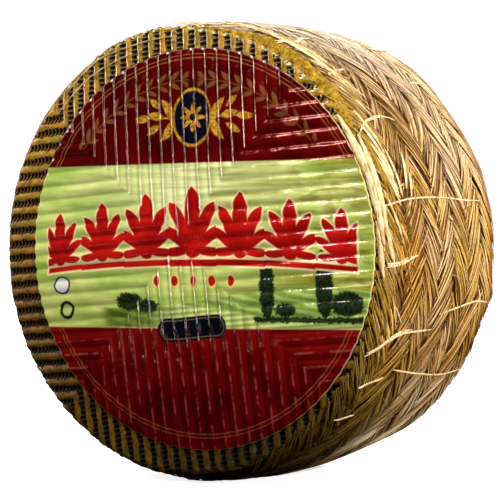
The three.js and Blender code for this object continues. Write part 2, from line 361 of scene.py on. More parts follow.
# Golden ribs with darker patches and pale flecks that are painted highlights, brown flanks, and nearly
# black pits between them
crest = blend(tree, mottle(tree, place, 9, 3.0), "#9c8606", "#e0980c")
crest = blend(tree, mottle(tree, place, 2.2, 3.0, 0.45, 0.7), crest, "#7c5806")
crest = blend(tree, grain * 0.4, crest, "#9c7410")
crest = tint(tree, up.ease(20, 80), crest, "#e6ec98")
# Painted highlights: flecks on the crests, orange-gold low down and cream higher up
painted_glint = blend(tree, up.ease(0, 70), "#f0a81c", "#e8c070")
crest = blend(tree, mottle(tree, place, 1.5, 3.0, 0.56, 0.74) * 0.65, crest, painted_glint)
flank = blend(tree, wander, "#3c2606", "#80590f")
colour = blend(tree, edge.ease(0.3, 0.6), crest, flank)
hole = pit.ease(0.2, 0.46) * edge.ease(0.38, 0.56)
inner = 94.9 + left * 1.8
hole = hole * (reach - inner).ease(0.0, 1.6, 1.0, 0.0)
colour = blend(tree, hole, colour, "#1c0c02")
bars = pit.ease(0.1, 0.28, 1.0, 0.0) * edge.ease(0.42, 0.6) * up.ease(-80, 50, 0.1, 0.6)
colour = blend(tree, bars, colour, "#b08a40")

# Past the ribs the shoulder is streaked along its turn, with a painted highlight, a pale bead, at the
# end of each upper rib
streaks = mottle(tree, (up.put("ARCTAN2", x) * 98, reach / 3, y / 3), 1.3, 3.0, 0.3, 0.7)
bare = blend(tree, streaks, "#7a6004", "#c09018")
bare = blend(tree, mottle(tree, place, 1.4, 3.0, 0.52, 0.68) * 0.7, bare, "#4e3a04")
colour = blend(tree, (reach - inner).ease(1.0, 2.6), colour, bare)
# Painted highlight: a pale bead where each upper rib meets the shoulder
painted_rib_end_glints = (1 - abs(reach - inner - 0.5) / 1.1).most(0.0) * edge.ease(0.3, 0.5) * up.ease(25, 65)
painted_rib_end_glints = painted_rib_end_glints.ease(0.15, 0.6) * mottle(tree, place, 1.8, 1.0, 0.42, 0.52)
colour = blend(tree, painted_rib_end_glints * 0.8, colour, "#ecdc98")

# Greener and darker at the lower right, a mossy tone with painted shade in it, and painted shade
# darkening the ring towards the bottom, most at the lower left
# A mossy green tone with painted shade: greener and darker at the lower right
moss_and_shade = (x - up).ease(30, 110) * 0.8
colour = tint(tree, moss_and_shade, colour, "#8a9060")
# Painted shade: darker towards the bottom, most at the lower left
shade_side = (x * 0.35 + up).ease(-80, 30, 1.0, 0.0)
colour = tint(tree, shade_side, colour, "#908c60")
tree.links.new(colour, shader.inputs["Base Color"])

# The oil shines on the ribs, most of all at the top, and hardly in the grooves
feed(tree, edge.ease(0.3, 0.6, 0.35, 0.8), shader.inputs["Roughness"])
shine = edge.ease(0.58, 0.75, 1.0, 0.05) * (reach - inner).ease(1.0, 2.6, 1.0, 0.2)
shine = shine * up.ease(10, 60, 0.35, 1.0)
feed(tree, shine, shader.inputs["Coat Weight"])
shader.inputs["Specular IOR Level"].default_value = 0.15
shader.inputs["Coat Roughness"].default_value = 0.1
raise_bump(tree, shader, grain * 0.5 + wander - hole, 0.5)
raise_bump(tree, shader, wander, 0.1, 0.3, "Coat Normal")

values = {"Rib depth": rib_depth, "Pit share": 0.46, "Finish": rind}
run_tree(cheese, bpy.data.node_groups["pressed_ribs"], values)
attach(cheese, "root")
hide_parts("cheese_wheel")


# The label
# A round sheet of glossy printed paper, stuck on off-centre and pressed down over the ribs, so
# that its gloss breaks into a thin bright line along each of them.

label_middle = (8.2, axis_height + 0.5)
label_radius = 87
label_lift = 0.3
label_thickness = 0.4
label_ring = 840

# Its printed side from the middle outwards, its cut edge, and the side that is stuck down
label_rings = [(radius, 0.0, label_ring // 8) for radius in (2, 4, 6, 8, 10)]
for inner, outer, steps, part in ((10, 21, 14, 4), (21, 43, 28, 2), (43, label_radius, 58, 1)):
    for step in range(1, steps + 1):
        label_rings.append((inner + (outer - inner) * step / steps, 0.0, label_ring // part))
for radius in (label_radius, label_radius - 0.8):
    label_rings.append((radius, label_thickness, label_ring))
for radius, part in ((84, 2), (80, 4), (60, 8), (30, 8)):
    label_rings.append((radius, 1.6, label_ring // part))
label = new_piece("round_label", *turned_body(label_rings, label_middle))

sizes = {"rib_depth": "Float", "lift": "Float", "crinkle": "Float", "finish": "Material"}
tree, given = new_tree("paper_on_ribs", **sizes)
place = tree.nodes.new("GeometryNodeInputPosition").outputs[0]
x, y, z = [part * 1000 for part in split(tree, place)]
across, pit = rib_place(x, z)
up = z - axis_height
swell = 5.6 - (x * x + up * up) * 0.00056
paper = across * across * Field(tree, given["Rib depth"])
under = y.ease(1.0, 1.5)
crease = (mottle(tree, (x, y, z), 11, 1.0, 0.2, 0.8) - 0.5) * Field(tree, given["Crinkle"])
lifted = swell - paper * (1 - under) + crease * (1 - under) + Field(tree, given["Lift"])
lifted = lifted + label_thickness - y
new_y = (front_rim - lifted) * 0.001
parts = split(tree, place)
entries = {0: given["Geometry"], 2: join(tree, parts[0], new_y, parts[2])}
moved = add_node(tree, "GeometryNodeSetPosition", entries)
close_tree(tree, given, moved.outputs[0])

printed, tree, shader, place = new_finish("printed_paper")
x, y, z = place
print_turn = math.radians(1.2)
from_left = x - label_middle[0]
from_middle = z - label_middle[1]
u = from_left * math.cos(print_turn) + from_middle * math.sin(print_turn)
v = from_middle * math.cos(print_turn) - from_left * math.sin(print_turn)


def inside(depth, soft=0.35):
    """1 within a shape, from how many mm inside its outline a point lies."""
    return depth.ease(-soft, soft)


def leaf(u, v, middle, turn, length, width, bend=0.0, full=False):
    """How many mm inside a leaf's outline a point lies. A full leaf is blunt at its ends."""
    turn = math.radians(turn)
    right = u - middle[0]
    above = v - middle[1]
    along = (right * math.cos(turn) + above * math.sin(turn)) * (2 / length)
    across = above * math.cos(turn) - right * math.sin(turn)
    square = along * along
    ends = square * square if full else square
    return (1 - ends) * (width / 2) - abs(across + square * (bend * length))


def oval(u, v, middle, width, height):
    """How many mm inside an oval's outline a point lies."""
    right = (u - middle[0]) / (width / 2)
    above = (v - middle[1]) / (height / 2)
    return (1 - (right * right + above * above).put("SQRT")) * (min(width, height) / 2)


def most(shapes):
    """All of these shapes as one."""
    whole = shapes[0]
    for shape in shapes[1:]:
        whole = whole.most(shape)
    return whole


# Dark red above and below, and a pale green field between them, brushed lengthways
cloud = mottle(tree, place, 14, 3.0, 0.3, 0.7)
speck = mottle(tree, place, 1.2, 2.0, 0.3, 0.7)
colour = blend(tree, cloud, "#4c0204", "#6e0608")
colour = blend(tree, v.ease(-60, -34) * v.ease(-33, -30, 1.0, 0.0) * 0.5, colour, "#8a0c0e")
# Painted shade: the red is darker at the top, most on the left
painted_shade_top = v.ease(30, 46) * u.ease(-10, 60, 1.0, 0.4)
colour = tint(tree, painted_shade_top, colour, "#c6968c")
brush = mottle(tree, (u, y, v), (34, 30, 2.4), 4.0, 0.32, 0.68)
haze = mottle(tree, (u, y, v), (22, 22, 9), 3.0, 0.3, 0.7)
field = blend(tree, haze, "#a8c65a", "#dee68a")
streaks = blend(tree, u.ease(-40, 60), "#86a63e", "#86800c")
glow = (1 - abs(u + 4) / 62).most(0.0) * v.ease(-8, 22)
field = blend(tree, glow * 0.8, field, "#f6f2ba")
field = blend(tree, brush * u.ease(-70, 80, 0.5, 0.85), field, streaks)
blotch = mottle(tree, (u, y, v), (9, 9, 3.2), 3.0, 0.48, 0.66)
field = blend(tree, blotch * u.ease(20, 70) * 0.6, field, "#7c6a10")
band = inside((37.3 - v).least(v + 33.6))
colour = blend(tree, band, colour, field)
colour = blend(tree, inside(0.35 - abs(v + 33.8), 0.3) * 0.7, colour, "#d8cf8a")

# Two fine gold rings, on the red alone
from_ring = ((u - 1.0) * (u - 1.0) + (v - 1.4) * (v - 1.4)).put("SQRT")
rings = (0.28 - abs(from_ring - 81.4)).most(0.22 - abs(from_ring - 83.0))
colour = blend(tree, inside(rings, 0.2) * (1 - band) * 0.5, colour, "#a8683a")

# Rolling fields along the foot of the green, with tall cypresses and round bushes
far_hill = v - (u * 0.034 - 0.4).put("SINE") * 4.5 + 21.0
near_hill = v - (u * 0.026 + 2.6).put("SINE") * 5.0 + 27.0
rows = ((u * 0.35 + v * 1.6) + brush * 1.5).put("SINE").ease(-0.6, 0.9)
hill = blend(tree, rows * 0.7 + speck * 0.3, "#78963a", "#b4ca6c")
hill = tint(tree, u.ease(-20, 25, 1.0, 0.0), hill, "#b4bc98")
furrows = (v * 2.6 - u * 0.2).put("SINE").ease(-0.8, 0.8)
near_field = blend(tree, furrows, "#9cb852", "#d8e290")
colour = blend(tree, band * inside(-far_hill) * u.ease(-52, -44), colour, hill)
colour = blend(tree, band * inside(-near_hill) * u.ease(-30, 0), colour, near_field)
trees = most([
    leaf(u, v, (36.5, -17), 90, 27, 7.0, 0.0, True),
    leaf(u, v, (63.5, -15), 90, 31, 8.0, 0.0, True),
    oval(u, v, (45.0, -26), 10, 6),
    oval(u, v, (74, -23.5), 15, 11),
    oval(u, v, (-34, -22.5), 14, 8),
    oval(u, v, (-24, -24.5), 11, 6),
])
ground = (1.3 - abs(v + 30.2)).least(u - 30)
trees = trees.most(ground) + (speck - 0.5) * 1.0
dark_green = blend(tree, speck, "#101c10", "#2c381e")
colour = blend(tree, band * inside(trees, 0.5), colour, dark_green)

# An arched border of red palmettes with pale outlines, the largest in the middle
cell_number = ((u + 12) / 24).put("FLOOR")
size = 1.25 - abs(cell_number) * 0.1
cell = abs(u - cell_number * 24) / size
rise = (v + u * u * 0.0007 + 1.5) / size
palmettes = most([
    leaf(cell, rise, (0.0, 12.5), 90, 21, 6.2, 0.0, True),
    leaf(cell, rise, (4.6, 10.2), 64, 17.5, 4.8, 0.05, True),
    leaf(cell, rise, (7.6, 6.2), 34, 12.5, 4.0, 0.07, True),
    leaf(cell, rise, (6.0, 0.6), -8, 12.0, 3.4, -0.06, True),
    3.4 - (cell * cell + (rise - 1.6) * (rise - 1.6)).put("SQRT"),
    1.2 - abs(rise + 3.4),
])
print_red = (palmettes * size).least(79 - abs(u))
colour = blend(tree, inside(print_red + 0.9), colour, "#f0d79a")
red = blend(tree, cloud, "#920a08", "#bc140e")
colour = blend(tree, inside(print_red), colour, red)

# A dark blue oval with a gold rosette, leafy sprays beside it and an arc of gold leaves above
medal_v = v - 57.0
spread = abs(u)
turn = medal_v.put("ARCTAN2", u)
from_medal = (u * u + medal_v * medal_v).put("SQRT")
sprays = [
    leaf(spread, medal_v, (12.2, 3.5), 62, 12, 4.0, 0.10),
    leaf(spread, medal_v, (12.0, -5.5), -58, 12, 4.0, -0.10),
    leaf(spread, medal_v, (18.5, 1.0), 12, 9, 3.6),
    leaf(spread, medal_v, (20.5, -5.0), -30, 8, 3.2),
    leaf(spread, medal_v, (26.0, 0.0), -8, 9, 3.4),
    leaf(spread, medal_v, (19.5, 6.5), 40, 7, 2.8),
]
sprays.append(0.35 - abs(medal_v - (spread - 9) * 0.02) + (spread - 9).least(0.0))
gold = blend(tree, speck, "#7d5412", "#cf9a34")
colour = blend(tree, inside(most(sprays), 0.3) * spread.ease(28, 31, 1.0, 0.0), colour, gold)
medal = oval(u, medal_v, (0, 0), 18, 23)
colour = blend(tree, inside(medal + 1.0, 0.3), colour, gold)
colour = blend(tree, inside(medal, 0.3), colour, "#070b16")
petals = 4.6 + (turn * 8).put("COSINE") * 1.7 - from_medal
colour = blend(tree, inside(petals, 0.3) * inside(from_medal - 1.5, 0.3), colour, gold)
arc_v = abs(((u * u) + v * v).put("SQRT") - 73.5)
bead = (abs(u).put("ARCTAN2", v) * (180 / math.pi) / 5.0).put("FRACT") * 6.4 - 3.2
laurel = leaf(bead, arc_v, (0.0, 2.1), -36, 6.4, 2.0).most(0.22 - arc_v)
arc_ends = v.ease(44, 46) * abs(u).ease(2.0, 3.0)
colour = blend(tree, inside(laurel, 0.25) * arc_ends * 0.36, colour, "#9a6c3a")

# A dark blue bar with rounded ends on the lower edge of the green, two small plain spots at the
# left and a row of red dots
bar_u = (abs(u + 1.5) - 12.5).most(0.0)
bar_v = v + 34.0 - (u * 0.11).put("SINE") * 1.0
bar = 5.2 - (bar_u * bar_u + bar_v * bar_v).put("SQRT")
colour = blend(tree, inside(bar, 0.3), colour, "#080c14")
line = 0.25 - abs(bar - 1.2)
colour = blend(tree, inside(line, 0.2) * 0.4, colour, "#8f8a6a")
mark = oval(u, v, (-71.5, -15.5), 9.6, 8.2)
colour = blend(tree, inside(mark, 0.3), colour, "#1f3a5c")
colour = blend(tree, inside(mark - 0.9, 0.3), colour, "#e0e4da")
spot = oval(u, v, (-69.0, -26.5), 8.4, 8.4)
colour = blend(tree, inside(spot, 0.3), colour, "#12291a")
colour = blend(tree, inside(spot - 1.6, 0.3), colour, "#b9c87c")
dots = most([oval(u, v, (-19 + 9.5 * k, -13.5), 3.2, 4.6) for k in range(5)])
colour = blend(tree, inside(dots + 0.7, 0.3), colour, "#ecca70")
colour = blend(tree, inside(dots, 0.3), colour, "#a8180f")

# The paper's cut edge is pale. Pale dots at the edge over the upper grooves are painted highlights,
# pink lines along the lower ribs are painted highlights, and painted shade darkens the label towards
# the bottom
paper_reach = ((from_left * from_left) + from_middle * from_middle).put("SQRT")
paper_edge = inside(paper_reach - label_radius + 0.35, 0.15)
colour = blend(tree, paper_edge * u.ease(40, 75, 0.2, 0.6), colour, "#d8c48c")
across = rib_place(x, z)[0]
# Painted highlight: pale dots at the edge over the upper grooves
painted_edge_glint = inside(paper_reach - label_radius + 0.8, 0.2) * across.ease(0.76, 0.88) * v.ease(10, 40)
painted_edge_glint = painted_edge_glint * mottle(tree, (x, y, z), 4.0, 1.0, 0.4, 0.5) * u.ease(30, 50, 1.0, 0.0)
colour = blend(tree, painted_edge_glint, colour, "#f6e2dc")
# Painted highlight: pink lines along the lower ribs
painted_rib_lines = mottle(tree, (x, y, z), 4.5, 3.0, 0.4, 0.62) * across.ease(0.06, 0.26, 1.0, 0.0)
colour = blend(tree, painted_rib_lines * v.ease(-46, -32, 0.6, 0.0), colour, "#b05452")
shade_low = (z - axis_height).ease(-95, 10, 1.0, 0.0)
colour = tint(tree, shade_low, colour, "#c0b2aa")
tree.links.new(colour, shader.inputs["Base Color"])

# Its gloss is uneven: broken up along the upper ribs on the left, and full at the upper right
rough = mottle(tree, place, 3.0, 2.0, 0.3, 0.7).ease(0, 1, 0.07, 0.15)
feed(tree, rough, shader.inputs["Roughness"])
broken = mottle(tree, place, 1.7, 2.0, 0.38, 0.6) * v.ease(20, 40, 0.4, 0.75)
broken = broken * u.ease(8, 32, 1.0, 0.25)
gloss = mottle(tree, place, 10, 3.0).ease(0, 1, 0.16, 0.4) * (1 - broken)
gloss = gloss + v.ease(32, 42) * u.ease(12, 36) * 0.22
feed(tree, gloss, shader.inputs["Specular IOR Level"])
tree.links.new(blend(tree, band, "#ffb0a0", "#ffffff"), shader.inputs["Specular Tint"])
raise_bump(tree, shader, mottle(tree, place, 6, 2.0), 0.12, 0.5)

values = {"Rib depth": 0.9, "Lift": label_lift, "Crinkle": 0.22, "Finish": printed}
run_tree(label, bpy.data.node_groups["paper_on_ribs"], values)
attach(label, "root")
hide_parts("face_label")


# The belt
# Seven plaits of dry esparto grass sewn side by side, slanting one way and then the other, and
# drawn tight round the whole side of the wheel over a dark layer, painted dark as the shade between and
# under them.

belt_front = 2.6
belt_width = 96.4
belt_reach = 103
belt_fall = 2.6
edge_roll = 6.9
top_pull = 1.8
plaits = 7

# Where the soft belt is pressed in or stands out at the back: degrees round from the right, how
# many degrees to each side, from and to which depth it grows, and how far in it goes
dents = [
    (-67, 14, 55, 98, 2.4),
    (-12, 7, 70, 98, -1.8),
    (35, 16, 60, 98, 1.3),
]


def belt_radius(depth):
    """The middle of the belt's outer skin, which falls away to both edges."""
    across = 2 * (depth - belt_front) / belt_width - 1
    return belt_reach - belt_fall * across * across


def wrap(tree, s, depth, height):
    """Bends a flat place, in mm along and across the belt and above it, round the wheel."""
    turn = s / belt_reach
    across = (depth - belt_front) * (2 / belt_width) - 1
    edge = (depth - belt_front).ease(0.0, edge_roll, 1.9, 0.0)
    reach = belt_reach - across * across * belt_fall + height - edge
    x = turn.put("COSINE") * reach * 0.001
    z = (turn.put("SINE") * reach + axis_height) * 0.001
    return join(tree, x, (depth + front_rim) * 0.001, z.most(0.0002))


def smooth(low, high, value):
    """Goes from 0 to 1 as the value goes from low to high."""
    share = min(max((value - low) / (high - low), 0), 1)
    return share * share * (3 - 2 * share)


def drawn_in(turn, depth):
    """How far in the belt is drawn at an angle from the right and a depth."""
    turn = (turn + 90) % 360 - 90
    pull = smooth(60, 92, turn) * (1 - smooth(125, 165, turn)) * top_pull
    for dent_turn, reach, near, far, push in dents:
        pull += smooth(0, 1, 1 - abs(turn - dent_turn) / reach) * smooth(near, far, depth) * push
    return pull


# A layer under the plaits, painted dark as the shade between them, open at both ends and closed on its
# inside against the cheese
lining_ring = 360
lining_rings = [(97.6, front_rim + 3.4, lining_ring)]
for step in range(15):
    depth = belt_front + belt_width * step / 14
    drop = {0: 4.4, 13: 1.3, 14: 0.4}.get(step, 1.8)
    place = front_rim + min(max(depth, 3.4), 98.9)
    lining_rings.append((belt_radius(depth) - drop, place, lining_ring))
lining_rings.append((97.9, front_rim + 98.9, lining_ring))
vertices, faces = turned_body(lining_rings)
for spot in vertices[1 + lining_ring : -1 - lining_ring]:
    up = spot[2] - axis_height
    pull = drawn_in(math.degrees(math.atan2(up, spot[0])), spot[1] - front_rim)
    share = 1 - pull / math.hypot(spot[0], up)
    spot[0] *= share
    spot[2] = axis_height + up * share
faces = [face for face in faces if 0 not in face and len(vertices) - 1 not in face]
last_ring = 1 + (len(lining_rings) - 1) * lining_ring
for column in range(lining_ring):
    beside = (column + 1) % lining_ring
    faces.append((1 + beside, last_ring + beside, last_ring + column, 1 + column))
vertices = [[x, y, max(z, 0.4)] for x, y, z in vertices[1:-1]]
faces = [tuple(corner - 1 for corner in face) for face in faces]
lining = new_piece("belt_lining", vertices, faces)

# Painted shade: dark brown straw for the shade seen between the plaits
painted_shade_straw, tree, shader, place = new_finish("painted_shade_straw")
x, y, z = place
turn = (z - axis_height).put("ARCTAN2", x) * belt_reach
strand = mottle(tree, (turn, y, y * 0.0), (9, 0.8, 9), 3.0, 0.3, 0.7)
colour = blend(tree, strand, "#5a3a0c", "#a37428")
tree.links.new(colour, shader.inputs["Base Color"])
shader.inputs["Roughness"].default_value = 0.85
raise_bump(tree, shader, strand, 0.6)
lining.data.materials.append(painted_shade_straw)
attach(lining, "root")

tree, given = new_tree(
    "plait_of_straw",
    straws="Int",
    slant="Float",
    spread="Float",
    middle="Float",
    width="Float",
    straw_length="Float",
    straw_width="Float",
    lift="Float",
    front_inset="Float",
    wander="Float",
    seed="Int",
    finish="Material",
)


def draw(tree, low, high, seed, number=None):
    """A random number for each straw, or for each group of straws where its number is given."""
    entries = {2: low, 3: high, 8: seed}
    if number is not None:
        entries[7] = number
    node = add_node(tree, "FunctionNodeRandomValue", entries, data_type="FLOAT")
    return Field(tree, node.outputs[1])


# The straws start evenly round the belt, nine to a bundle, with some chance in every place, and
# every other one lies lower
seed = Field(tree, given["Seed"])
count = Field(tree, given["Straws"])
number = Field(tree, tree.nodes.new("GeometryNodeInputIndex").outputs[0])
bundle = (number / 9).put("FLOOR")
under = (number / 2).put("FRACT") * 2
s = (number + draw(tree, -0.4, 0.4, seed)) / count * (2 * math.pi * belt_reach)
s = s + draw(tree, -1.2, 1.2, seed + 1, bundle)
width = Field(tree, given["Width"])
depth = Field(tree, given["Middle"]) + draw(tree, -0.13, 0.13, seed + 2) * width
depth = depth + draw(tree, -0.1, 0.1, seed + 13, bundle) * width
height = Field(tree, given["Lift"]) + draw(tree, -0.4, 0.4, seed + 3) - under * 0.4
height = height + draw(tree, -0.3, 0.3, seed + 4, bundle)
where = join(tree, s, depth, height)
points = add_node(tree, "GeometryNodePoints", {0: given["Straws"], 1: where}).outputs[0]
for label_name, value in (
    ("straw_tone", draw(tree, 0.0, 1.0, seed + 5)),
    ("bundle_tone", draw(tree, 0.0, 1.0, seed + 6, bundle)),
    ("straw_under", under),
):
    entries = {0: points, 2: label_name, 3: value}
    points = add_node(tree, "GeometryNodeStoreNamedAttribute", entries, data_type="FLOAT").outputs[0]

# One flat straw that tapers to both ends and keeps the direction of its grain
half = Field(tree, given["Straw length"]) * 0.5
entries = {0: join(tree, -half, 0.0, 0.0), 1: join(tree, half, 0.0, 0.0)}
line = add_node(tree, "GeometryNodeCurvePrimitiveLine", entries)
bent = add_node(tree, "GeometryNodeResampleCurve", {0: line.outputs[0], 2: 8})
share = Field(tree, tree.nodes.new("GeometryNodeSplineParameter").outputs[0])
taper = (share * (1 - share) * 4).put("POWER", 0.5).most(0.1)
profile = add_node(tree, "GeometryNodeCurvePrimitiveCircle", {0: 5, 4: 0.5})
entries = {0: bent.outputs[0], 1: profile.outputs[0], 2: taper, 3: True}
straw = add_node(tree, "GeometryNodeCurveToMesh", entries).outputs[0]
grain = tree.nodes.new("GeometryNodeInputPosition").outputs[0]
entries = {0: straw, 2: "straw_grain", 3: grain}
straw = add_node(tree, "GeometryNodeStoreNamedAttribute", entries, data_type="FLOAT_VECTOR").outputs[0]

# Each straw is turned to the row's slant and sized, with some chance in both
spread = Field(tree, given["Spread"])
tilt = Field(tree, given["Slant"]) + draw(tree, -1.0, 1.0, seed + 7) * spread
tilt = tilt + draw(tree, -1.3, 1.3, seed + 8, bundle) * spread
roll = draw(tree, -0.35, 0.35, seed + 9)
spin = add_node(tree, "FunctionNodeEulerToRotation", {0: join(tree, roll, 0.0, tilt * (math.pi / 180))})
wide = Field(tree, given["Straw width"]) * draw(tree, 0.5, 1.4, seed + 10)
size = join(tree, draw(tree, 0.75, 1.25, seed + 11), wide, wide * draw(tree, 0.35, 0.5, seed + 12))
entries = {0: points, 2: straw, 5: spin.outputs[0], 6: size}
laid = add_node(tree, "GeometryNodeInstanceOnPoints", entries)
realized = add_node(tree, "GeometryNodeRealizeInstances", {0: laid.outputs[0]}).outputs[0]

# The row sinks at its seams, wanders a little, and stops short of the front edge where the cheese
# shows bare in front of the belt
x, y, z = split(tree, tree.nodes.new("GeometryNodeInputPosition").outputs[0])
off = abs((y - Field(tree, given["Middle"])) / (width * 0.5))
hump = 0.15 - off.ease(0.7, 1.3) * 0.25
turn = x * (180 / math.pi / belt_reach)
bare = turn.ease(24, 36) * turn.ease(68, 80, 1.0, 0.0)
bare = bare + turn.ease(84, 100) * turn.ease(250, 266, 1.0, 0.0)
front = belt_front + 0.3 + Field(tree, given["Front inset"]) * bare
wander = mottle(tree, (x, seed * 7.3, seed * 0.0), (42, 1, 1), 1.0, 0.2, 0.8) - 0.5
inner = (y + wander * Field(tree, given["Wander"])).most(front).least(belt_front + belt_width)

# The plaits are drawn in as drawn_in says, and a little more on the left than on the right
top = turn.ease(60, 92) * turn.ease(125, 165, 1.0, 0.0)
tight = 0.6 - (x / belt_reach).put("COSINE") * 0.8 + top * top_pull
from_right = turn - (turn / 271).put("FLOOR") * 360
for dent_turn, reach, near, far, push in dents:
    dent = (1 - abs(from_right - dent_turn) / reach).most(0.0).ease(0, 1)
    tight = tight + dent * inner.ease(near, far) * push
flat = (1 - top * 0.5) * inner.ease(86, 98, 1.0, 0.5)
bent_round = wrap(tree, x, inner, (z + hump) * flat - tight)
moved = add_node(tree, "GeometryNodeSetPosition", {0: realized, 2: bent_round})

# The way round the wheel mirrors the straws, so their faces are turned outwards again
turned_out = add_node(tree, "GeometryNodeFlipFaces", {0: moved.outputs[0]})
close_tree(tree, given, turned_out.outputs[0])


def read(tree, label_name, kind="Fac"):
    """A value that the mesh carries at each point."""
    node = add_node(tree, "ShaderNodeAttribute", attribute_name=label_name)
    return node.outputs[kind]


esparto, tree, shader, place = new_finish("esparto_straw")
x, y, z = place
tone = Field(tree, read(tree, "straw_tone"))
bundle = Field(tree, read(tree, "bundle_tone"))
under = Field(tree, read(tree, "straw_under"))
gx, gy, gz = split(tree, read(tree, "straw_grain", "Vector"))

# Each straw has a tone of its own. Bundles are golden, pinkish or brown, with more pink along the
# middle of the belt and near its top.
streak = mottle(tree, (gx + tone * 90, gy, gz), (7, 0.45, 0.5), 2.0, 0.3, 0.7)
spots = mottle(tree, (gx + tone * 70, gy, gz), (2.4, 0.6, 0.5), 3.0, 0.56, 0.7)
patch = mottle(tree, place, 20, 2.0, 0.38, 0.62)
golden = blend(tree, tone, "#ba8c28", "#ecc262")
pinkish = blend(tree, tone, "#b48e60", "#f0cea4")
brown = blend(tree, tone, "#8c6628", "#c89a52")
band = (1 - abs((y - 0.5) / 20)).most(0.0)
kind = (bundle * 3.7).put("FRACT").ease(0.35, 0.75)
band = band * (1 - z.ease(55, 80) * z.ease(108, 130, 1.0, 0.0) * 0.8)
pink_share = patch * 0.35 + kind * 0.35 + band * 0.45 + z.ease(110, 190) * 0.3
colour = blend(tree, pink_share.least(1.0), golden, pinkish)
colour = blend(tree, bundle.ease(0.72, 0.95) * 0.6, colour, brown)
colour = blend(tree, tone.ease(0.85, 1.0) * 0.6, colour, "#f2d8a4")

# Fine streaks and spots run along a straw. Painted shade darkens its sides, and where it lies under
# others it is browner, partly stain and partly painted shade.
colour = tint(tree, streak * 0.35, colour, "#b08440")
colour = blend(tree, spots * 0.5, colour, "#7a4e10")
# Painted shade along the sides of each straw
painted_side_shade = abs(gy).ease(0.26, 0.5)
colour = tint(tree, painted_side_shade * 0.85, colour, "#7c500c")
# Where a straw lies under others it is browner, partly stain and partly painted shade
colour = tint(tree, under * 0.75, colour, "#8c5a14")

# Across the belt as a whole, painted light makes it paler at the top and the upper back and brighter
# golden towards its back, and painted shade makes it dusky along the back edge and near the top in
# front, and browner lower down
# Painted light: paler at the top
colour = blend(tree, z.ease(170, 205) * 0.72, colour, blend(tree, streak, "#f2e6d0", "#c0a888"))
# Painted shade: browner lower down
low = z.ease(5, 105, 1.0, 0.0)
colour = tint(tree, low, colour, "#e0c488")
depth = y - front_rim
# Painted light: brighter golden towards the back
colour = blend(tree, depth.ease(66, 92) * z.ease(60, 90) * 0.3, colour, "#f6ca74")
# Painted shade: darker along the back edge
back = depth.ease(89, 97) * z.ease(24, 60)
colour = tint(tree, back, colour, "#b48c4c")
# Painted shade: greyer and darker near the top in front
near_top = depth.ease(24, 42, 1.0, 0.0) * z.ease(140, 165) * z.ease(182, 196, 1.0, 0.1)
colour = tint(tree, near_top, colour, "#d4ccbc")
# Painted light: paler at the upper back
far_top = depth.ease(40, 75) * z.ease(115, 150) * depth.ease(86, 96, 1.0, 0.4)
colour = blend(tree, far_top * 0.35, colour, "#f6e0bc")

# A warm patch at the front, worn brown knots above it, olive below it, frayed straw at the top, painted
# shade darkening the foot and some bleached bundles near the foot
warm = z.ease(70, 88) * z.ease(104, 122, 1.0, 0.0) * depth.ease(20, 36, 1.0, 0.0)
colour = tint(tree, warm, colour, "#ecd69c")
height = z - 129
knots = 1 - (height * height) / 620 - ((depth - 18) * (depth - 18)) / 30
knots = knots.ease(0.0, 0.6) * x.ease(0, 40) * mottle(tree, place, 4, 3.0, 0.36, 0.56)
colour = tint(tree, knots * 0.8, colour, "#8c6430")
olive = z.ease(30, 75, 1.0, 0.0) * depth.ease(30, 70, 1.0, 0.0)
colour = tint(tree, olive, colour, "#c8d078")
fray = mottle(tree, place, (7, 3.5, 3.5), 3.0, 0.5, 0.66) * depth.ease(12, 40, 1.0, 0.0)
colour = tint(tree, fray * z.ease(150, 180) * 0.8, colour, "#8c7c34")
# Painted shade: a dark foot, darkest low down at the front
painted_shade_foot = (z + depth * 0.4).ease(2, 74, 1.0, 0.0)
colour = tint(tree, painted_shade_foot, colour, "#20220e")
bleached = z.ease(4, 18) * z.ease(34, 58, 1.0, 0.0) * depth.ease(26, 62) * (kind * 0.5 + 0.12)
colour = blend(tree, bleached, colour, "#ecd4a8")
tree.links.new(colour, shader.inputs["Base Color"])
shader.inputs["Roughness"].default_value = 0.6
shader.inputs["Specular IOR Level"].default_value = 0.12
raise_bump(tree, shader, streak, 0.12, 0.4)

# Each row of straws has a name, a number of straws, their slant and spread in degrees, the middle
# and the width of the row, the straws' length and width, their lift above the belt and how far back
# their ends stop at the front
plait_width = belt_width / plaits
rows = []
for number in range(plaits):
    slant = 31.0 if number % 2 else -31.0
    middle_row = plait_width * (number + 0.5) - 1.5
    sizes = (slant, 5.5, middle_row, plait_width, 25.0, 1.05, 0.0, 2.4)
    rows.append((f"plait_{number + 1}", 780, *sizes))
rows.append(("front_edge", 300, -24.0, 6.0, 4.2, 5.5, 22.0, 1.0, 0.2, 2.6))
rows.append(("back_edge", 260, -22.0, 6.0, belt_width - 2.5, 4.5, 22.0, 1.0, 0.1, 0.0))
rows.append(("stray_fibres", 240, 0.0, 60.0, belt_width / 2, belt_width * 1.75, 15.0, 0.4, 0.8, 3.0))
rows.append(("frayed_fibres", 230, 0.0, 35.0, 14.0, 60.0, 13.0, 0.5, 0.6, 3.0))
for number, (name, *sizes) in enumerate(rows):
    straws, slant, spread, middle_row, width, straw_length, straw_width, lift, inset = sizes
    row = new_piece(name, [(0, 0, 0)], [])
    values = {
        "Straws": straws,
        "Slant": slant,
        "Spread": spread,
        "Middle": belt_front + middle_row,
        "Width": width,
        "Straw length": straw_length,
        "Straw width": straw_width,
        "Lift": lift,
        "Front inset": inset,
        "Wander": 3.0,
        "Seed": 40 + 20 * number,
        "Finish": esparto,
    }
    run_tree(row, bpy.data.node_groups["plait_of_straw"], values)
    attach(row, "root")
    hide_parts("esparto_belt")

